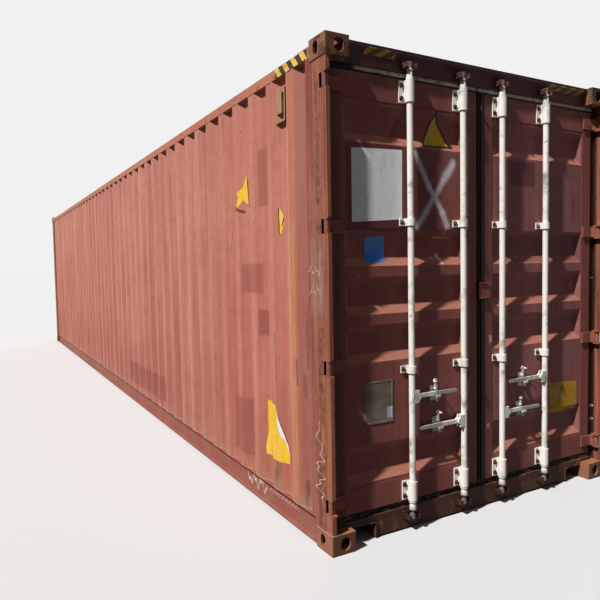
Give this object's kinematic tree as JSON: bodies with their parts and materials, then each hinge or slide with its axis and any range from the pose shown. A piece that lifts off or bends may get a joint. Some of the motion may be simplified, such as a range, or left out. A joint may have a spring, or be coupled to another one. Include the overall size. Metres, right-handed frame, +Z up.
{
  "type": "shipping container",
  "caption": "Closed steel box for freight, high cube, with corrugated walls, two hinged end doors, turning lock rods with handles, and hollow corner castings.",
  "frame": {"origin": "middle of the footprint, on the undersides of the four bottom castings", "axes": "+Z up, +Y along the length towards the closed front end, doors facing -Y, +X to the right of someone who looks at the doors"},
  "size_m": [2.438, 12.192, 2.896],
  "materials": {
    "side_paint": "sun-faded oxide red paint, chalky, with rust at edges and scratches",
    "end_paint": "dull dark oxide red paint with scuffs and rust stains",
    "base_paint": "dark bituminous underside coating",
    "rusted_casting": "weathered brown rust over cast steel, remains of paint",
    "rusted_forging": "rusted forged steel",
    "lock_gear": "chalky galvanised steel, off-white with rust spots",
    "door_rubber": "weathered black seal rubber, grey at the lips",
    "floor_wood": "worn plywood",
    "vent_plastic": "painted moulded vent"
  },
  "bodies": {
    "root": {"casting_door_top_left": "rusted_casting", "casting_door_top_right": "rusted_casting", "casting_door_bottom_left": "rusted_casting", "casting_door_bottom_right": "rusted_casting", "casting_front_top_left": "rusted_casting", "casting_front_top_right": "rusted_casting", "casting_front_bottom_left": "rusted_casting", "casting_front_bottom_right": "rusted_casting", "door_post_left": "side_paint", "door_post_right": "side_paint", "front_post_left": "side_paint", "front_post_right": "side_paint", "door_header": "end_paint", "door_sill": "end_paint", "front_top_rail": "side_paint", "front_bottom_rail": "side_paint", "top_rail_left": "side_paint", "top_rail_right": "side_paint", "bottom_rail_left": "side_paint", "bottom_rail_right": "side_paint", "side_wall_left": "side_paint", "side_wall_right": "side_paint", "front_wall": "side_paint", "roof_sheet": "side_paint", "roof_guards": "side_paint", "crossmembers": "base_paint", "tunnel_outriggers": "base_paint", "gooseneck_tunnel": "base_paint", "tunnel_sides": "base_paint", "floor_boards": "floor_wood", "cam_keepers": "rusted_forging", "wall_vents": "vent_plastic"},
    "door_left": {"door_frame_left": "end_paint", "door_panel_left": "end_paint", "door_seal_left": "door_rubber", "door_hinges_left": "side_paint", "rod_guides_left": "lock_gear", "handle_retainers_left": "lock_gear"},
    "door_right": {"door_frame_right": "end_paint", "door_panel_right": "end_paint", "door_seal_right": "door_rubber", "door_hinges_right": "side_paint", "rod_guides_right": "lock_gear", "handle_retainers_right": "lock_gear", "overlap_plate": "end_paint"},
    "rod_1": {"lock_rod_1": "lock_gear"},
    "handle_1": {"rod_handle_1": "lock_gear"},
    "catch_1": {"handle_catch_1": "lock_gear"},
    "rod_2": {"lock_rod_2": "lock_gear"},
    "handle_2": {"rod_handle_2": "lock_gear"},
    "catch_2": {"handle_catch_2": "lock_gear"},
    "rod_3": {"lock_rod_3": "lock_gear"},
    "handle_3": {"rod_handle_3": "lock_gear"},
    "catch_3": {"handle_catch_3": "lock_gear"},
    "rod_4": {"lock_rod_4": "lock_gear"},
    "handle_4": {"rod_handle_4": "lock_gear"},
    "catch_4": {"handle_catch_4": "lock_gear"}
  },
  "joints": [
    {"name": "door_left_swing", "type": "hinge", "parent": "root", "child": "door_left", "pos_m": [-1.201, -6.058, 1.4585], "axis": [0, 0, -1], "range_deg": [0, 265]},
    {"name": "door_right_swing", "type": "hinge", "parent": "root", "child": "door_right", "pos_m": [1.201, -6.058, 1.4585], "axis": [0, 0, 1], "range_deg": [0, 265]},
    {"name": "rod_1_turn", "type": "hinge", "parent": "door_left", "child": "rod_1", "pos_m": [-0.606, -6.056, 1.45], "axis": [0, 0, 1], "range_deg": [-100, 0]},
    {"name": "rod_2_turn", "type": "hinge", "parent": "door_left", "child": "rod_2", "pos_m": [-0.176, -6.056, 1.45], "axis": [0, 0, -1], "range_deg": [-100, 0]},
    {"name": "rod_3_turn", "type": "hinge", "parent": "door_right", "child": "rod_3", "pos_m": [0.176, -6.056, 1.45], "axis": [0, 0, 1], "range_deg": [-100, 0]},
    {"name": "rod_4_turn", "type": "hinge", "parent": "door_right", "child": "rod_4", "pos_m": [0.606, -6.056, 1.45], "axis": [0, 0, -1], "range_deg": [-100, 0]},
    {"name": "handle_1_lift", "type": "hinge", "parent": "rod_1", "child": "handle_1", "pos_m": [-0.564, -6.056, 0.832], "axis": [0, -1, 0], "range_deg": [0, 15]},
    {"name": "handle_2_lift", "type": "hinge", "parent": "rod_2", "child": "handle_2", "pos_m": [-0.218, -6.056, 0.628], "axis": [0, 1, 0], "range_deg": [0, 15]},
    {"name": "handle_3_lift", "type": "hinge", "parent": "rod_3", "child": "handle_3", "pos_m": [0.218, -6.056, 0.628], "axis": [0, -1, 0], "range_deg": [0, 15]},
    {"name": "handle_4_lift", "type": "hinge", "parent": "rod_4", "child": "handle_4", "pos_m": [0.564, -6.056, 0.832], "axis": [0, 1, 0], "range_deg": [0, 15]},
    {"name": "catch_1_turn", "type": "hinge", "parent": "door_left", "child": "catch_1", "pos_m": [-0.401, -6.036, 0.856], "axis": [0, -1, 0], "range_deg": [-105, 0]},
    {"name": "catch_2_turn", "type": "hinge", "parent": "door_left", "child": "catch_2", "pos_m": [-0.381, -6.036, 0.652], "axis": [0, 1, 0], "range_deg": [-105, 0]},
    {"name": "catch_3_turn", "type": "hinge", "parent": "door_right", "child": "catch_3", "pos_m": [0.381, -6.036, 0.652], "axis": [0, -1, 0], "range_deg": [-105, 0]},
    {"name": "catch_4_turn", "type": "hinge", "parent": "door_right", "child": "catch_4", "pos_m": [0.401, -6.036, 0.856], "axis": [0, 1, 0], "range_deg": [-105, 0]}
  ]
}
